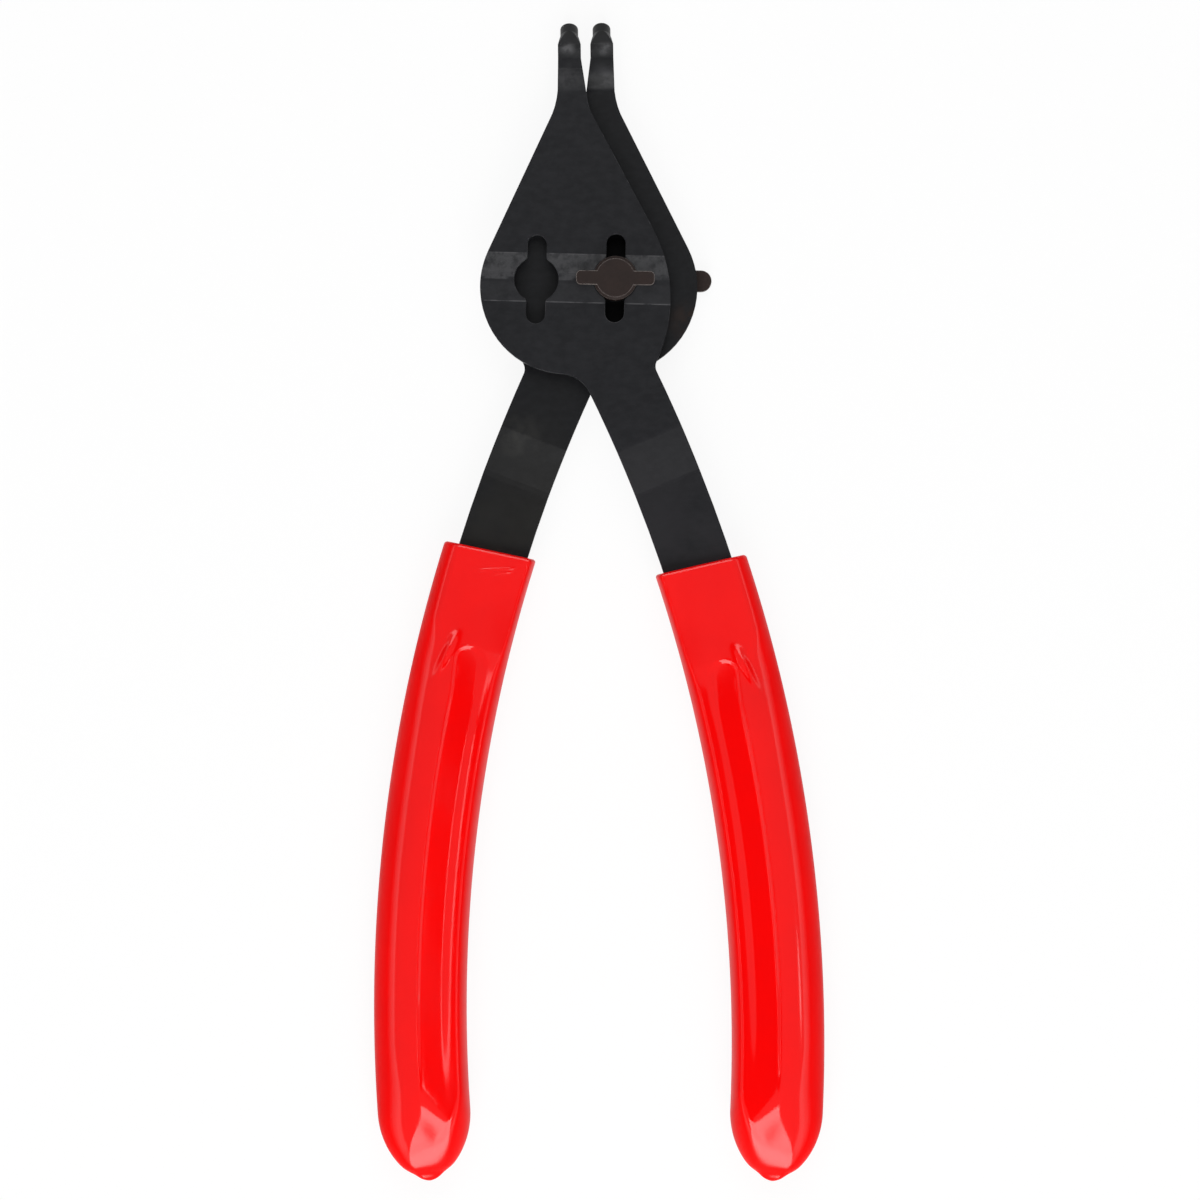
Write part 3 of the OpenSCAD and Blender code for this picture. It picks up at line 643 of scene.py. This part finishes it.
def skin_faces(outer_n, inner_n):
    """Faces of a grip: outer rings, cavity rings, the mouth, and fans at the tip and the cavity's end."""
    rings = outer_n + inner_n
    neighbours = [(i, i + 1) for i in range(rings - 1) if i != outer_n - 1]
    neighbours.append((rings - 1, 0))
    faces = [quad for i, j in neighbours for quad in ring_quads(i, j, GRIP_SIDES)]
    last = (outer_n - 1) * GRIP_SIDES
    first = outer_n * GRIP_SIDES
    tip_at = rings * GRIP_SIDES
    end_at = tip_at + 1
    faces += [(last + (k + 1) % GRIP_SIDES, last + k, tip_at) for k in range(GRIP_SIDES)]
    faces += [(first + k, first + (k + 1) % GRIP_SIDES, end_at) for k in range(GRIP_SIDES)]
    return faces


def grip(name, node, body, mouth_drop, end_drop, material, mirrored=False, folds=()):
    """A dipped grip: one closed skin outside, round the mouth's rim and down into the cavity."""
    mouth_turn = bow_turn(mouth_drop)
    length = (mouth_turn - bow_turn(end_drop)) * BOW_R
    depth = (mouth_turn - bow_turn(STRIP_END_DROP)) * BOW_R + GRIP_CLEAR
    outer = [grip_ring(mouth_turn, s, length, folds) for s in outer_places(length)]
    inner = [cavity_ring(mouth_turn, depth * (1 - q / CAVITY_STEPS), 0.0) for q in range(CAVITY_STEPS)]
    inner += [cavity_ring(mouth_turn, LIP_R - back, flare) for flare, back in lip_steps()]
    tip = beside_bow(mouth_turn, np.array([length]), np.array([0.0]), 0.0)
    cavity_end = beside_bow(mouth_turn, np.array([depth]), np.array([-STRIP_SHIFT]), 0.0)
    points = np.concatenate([*outer, *inner, tip, cavity_end])
    faces = skin_faces(len(outer), len(inner))
    if mirrored:
        points[:, 0] *= -1
        faces = [face[::-1] for face in faces]
    placed = points * MM + np.array([0.0, PIVOT.y, PIVOT.z])
    piece = add_mesh(name, [tuple(p) for p in placed], faces, material)
    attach(piece, body)
    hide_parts(node)


def panel(name, off_vertical, azimuth, distance, width, height, radiance, aim_y=0.0):
    """A soft box that faces the object. Angles in degrees; azimuth 0 is +X and 90 is +Y."""
    tilt = math.radians(off_vertical)
    around = math.radians(azimuth)
    towards = Vector((math.sin(tilt) * math.cos(around), math.sin(tilt) * math.sin(around), math.cos(tilt)))
    lamp = bpy.data.lights.new(name, "AREA")
    lamp.shape = "RECTANGLE"
    lamp.size = width
    lamp.size_y = height
    lamp.energy = radiance * 4 * width * height
    placed = bpy.data.objects.new(name, lamp)
    bpy.context.scene.collection.objects.link(placed)
    across = Vector((-math.sin(around), math.cos(around), 0.0))
    turn = Matrix((across, towards.cross(across), towards)).transposed()
    placed.matrix_world = Matrix.Translation(Vector((0.0, aim_y, 0.0)) + towards * distance) @ turn.to_4x4()


def whiten(g, share):
    """Shows a surface as plain white by a share, to the camera and in reflections. The rest has shadows."""
    ray = g.node("LightPath")
    seen = g.total(*[ray.outputs[f"Is {kind} Ray"] for kind in ("Camera", "Glossy", "Transmission")])
    white = g.node("Emission")
    white.inputs["Color"].default_value = (1.0, 1.0, 1.0, 1.0)
    white.inputs["Strength"].default_value = 1.0
    both = g.node("MixShader")
    g.feed(both.inputs[0], g.span(seen, 0.0, 1.0, 0.0, share))
    g.feed(both.inputs[1], g.shader.outputs[0])
    g.feed(both.inputs[2], white.outputs[0])
    g.feed(g.tree.nodes["Material Output"].inputs["Surface"], both.outputs[0])


def floor_white(name):
    """Dull white that shows as plain white and keeps the shadows."""
    g = Graph(name)
    colour = g.mix(g.noise(scale=14.0, detail=2.0), FLOOR_DARK, FLOOR_LIGHT)
    g.set(Base_Color=colour, Roughness=1.0, Specular_IOR_Level=0.0)
    whiten(g, WHITE_SHARE)
    return g.material


def white_dish():
    """Floor and backdrop in one: a flat disc whose rim bends up all round."""
    profile = [(0.0, 0.0), (DISH_INNER_R, 0.0), (DISH_FLAT_R, 0.0)]
    for degrees in range(DISH_BEND_STEP, 91, DISH_BEND_STEP):
        bend = math.radians(degrees)
        profile.append((DISH_FLAT_R + DISH_BEND_R * math.sin(bend), DISH_BEND_R * (1 - math.cos(bend))))
    profile.append((DISH_FLAT_R + DISH_BEND_R, DISH_H))
    turns = [2 * math.pi * k / DISH_SIDES for k in range(DISH_SIDES)]
    points = [(r * math.cos(turn), r * math.sin(turn), z) for r, z in profile for turn in turns]
    faces = [quad[::-1] for i in range(len(profile) - 1) for quad in ring_quads(i, i + 1, DISH_SIDES)]
    floor = add_mesh("floor", points, faces, floor_white("floor_white"))


def lights():
    """Soft boxes on all four sides with a dark gap overhead, two strips for the gloss, and a dim world."""
    world = bpy.data.worlds.new("studio")
    bpy.context.scene.world = world
    world.use_nodes = True
    world.node_tree.nodes["Background"].inputs["Color"].default_value = (*WORLD_GREY, 1.0)
    panel("left_box", off_vertical=32, azimuth=180, distance=0.8, width=1.5, height=0.72, radiance=0.25)
    panel("right_box", off_vertical=32, azimuth=0, distance=0.8, width=1.5, height=0.72, radiance=0.27)
    panel("left_strip", off_vertical=6.5, azimuth=180, distance=0.8, width=0.2, height=0.03, radiance=2.2,
          aim_y=-0.05)
    panel("right_strip", off_vertical=46, azimuth=0, distance=0.8, width=0.05, height=0.03, radiance=4.0,
          aim_y=-0.09)
    panel("low_box", off_vertical=49, azimuth=270, distance=0.7, width=0.55, height=0.68, radiance=3.2)
    panel("high_box", off_vertical=38, azimuth=90, distance=0.75, width=0.5, height=0.60, radiance=2.0)


def photo_camera():
    """Straight above, far off, with the photo's small turn."""
    lens = bpy.data.cameras.new("camera")
    lens.sensor_width = SENSOR_W
    lens.lens = SENSOR_W * CAMERA_H / (PHOTO_W * MM)
    lens.clip_start = 0.01
    lens.clip_end = 20.0
    camera = bpy.data.objects.new("camera", lens)
    bpy.context.scene.collection.objects.link(camera)
    camera.location = (PHOTO_MIDDLE_X * MM, PHOTO_MIDDLE_Y * MM, PIVOT.z + CAMERA_H)
    camera.rotation_euler = (0.0, 0.0, math.radians(PHOTO_TURN))
    bpy.context.scene.camera = camera


dress_steel()
vinyl = red_vinyl("vinyl")
grip("front_grip_skin", "front_grip", "front_half", FRONT_MOUTH_DROP, FRONT_END_DROP, vinyl)
grip("rear_grip_skin", "rear_grip", "rear_half", REAR_MOUTH_DROP, REAR_END_DROP, vinyl,
     mirrored=True, folds=MOUTH_FOLDS)
white_dish()
lights()
photo_camera()

bpy.context.scene.view_settings.view_transform = "Standard"
